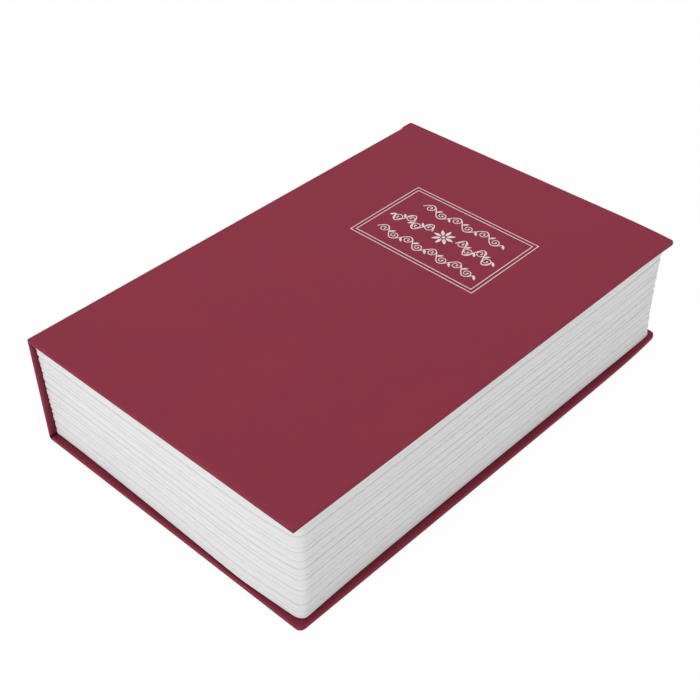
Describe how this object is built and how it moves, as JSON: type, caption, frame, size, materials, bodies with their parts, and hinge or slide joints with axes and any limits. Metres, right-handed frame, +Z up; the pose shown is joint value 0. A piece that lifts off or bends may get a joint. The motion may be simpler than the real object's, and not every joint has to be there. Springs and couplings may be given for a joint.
{
  "type": "book diversion safe",
  "caption": "Hardback book lying on its back cover, with a moulded page block round a hinged steel box and a cam lock in the box's lid.",
  "frame": {"origin": "centre of the closed book's footprint, on the outer face of the back cover that it lies on", "axes": "+X from the spine to the fore-edge, +Y from the tail to the head, +Z up through the front cover"},
  "size_m": [0.1586, 0.24, 0.0568],
  "materials": {
    "cover_paper": "satin",
    "greyboard": "matte",
    "lining_paper": "matte",
    "page_plastic": "satin",
    "box_enamel": "satin",
    "zinc_steel": "satin",
    "lock_chrome": "polished"
  },
  "bodies": {
    "root": {"back_board": "greyboard", "back_cover": "cover_paper", "back_lining": "lining_paper", "page_block": "page_plastic", "safe_box": "box_enamel", "strike_bracket": "zinc_steel", "hinge_leaf_box": "zinc_steel", "hinge_pin": "zinc_steel", "box_screw_1": "zinc_steel", "box_screw_2": "zinc_steel", "box_screw_3": "zinc_steel", "box_screw_4": "zinc_steel"},
    "spine": {"spine_board": "greyboard", "spine_cover": "cover_paper", "spine_lining": "lining_paper"},
    "front": {"front_board": "greyboard", "front_cover": "cover_paper", "front_lining": "lining_paper"},
    "lid": {"box_lid": "box_enamel", "hinge_leaf_lid": "zinc_steel", "lock_body": "lock_chrome", "lock_washer": "zinc_steel", "lock_nut": "zinc_steel"},
    "lock_cylinder": {"lock_plug": "lock_chrome", "lock_cam": "zinc_steel", "cam_screw": "zinc_steel"}
  },
  "joints": [
    {"name": "cover_open", "type": "hinge", "parent": "spine", "child": "front", "pos_m": [-0.0793, 0, 0.0568], "axis": [0, -1, 0], "range_deg": [0, 90]},
    {"name": "spine_fold", "type": "hinge", "parent": "root", "child": "spine", "pos_m": [-0.0793, 0, 0], "axis": [0, -1, 0], "range_deg": [0, 90]},
    {"name": "lid_open", "type": "hinge", "parent": "root", "child": "lid", "pos_m": [-0.062, 0, 0.04895], "axis": [0, -1, 0], "range_deg": [0, 100]},
    {"name": "key_turn", "type": "hinge", "parent": "lid", "child": "lock_cylinder", "pos_m": [0.0399, 0, 0.0518], "axis": [0, 0, -1], "range_deg": [0, 90]}
  ],
  "couplings": [
    {"joint": "spine_fold", "follows": "cover_open", "ratio": 1},
    {"joint": "lid_open", "follows": "cover_open", "ratio": 1.11}
  ]
}
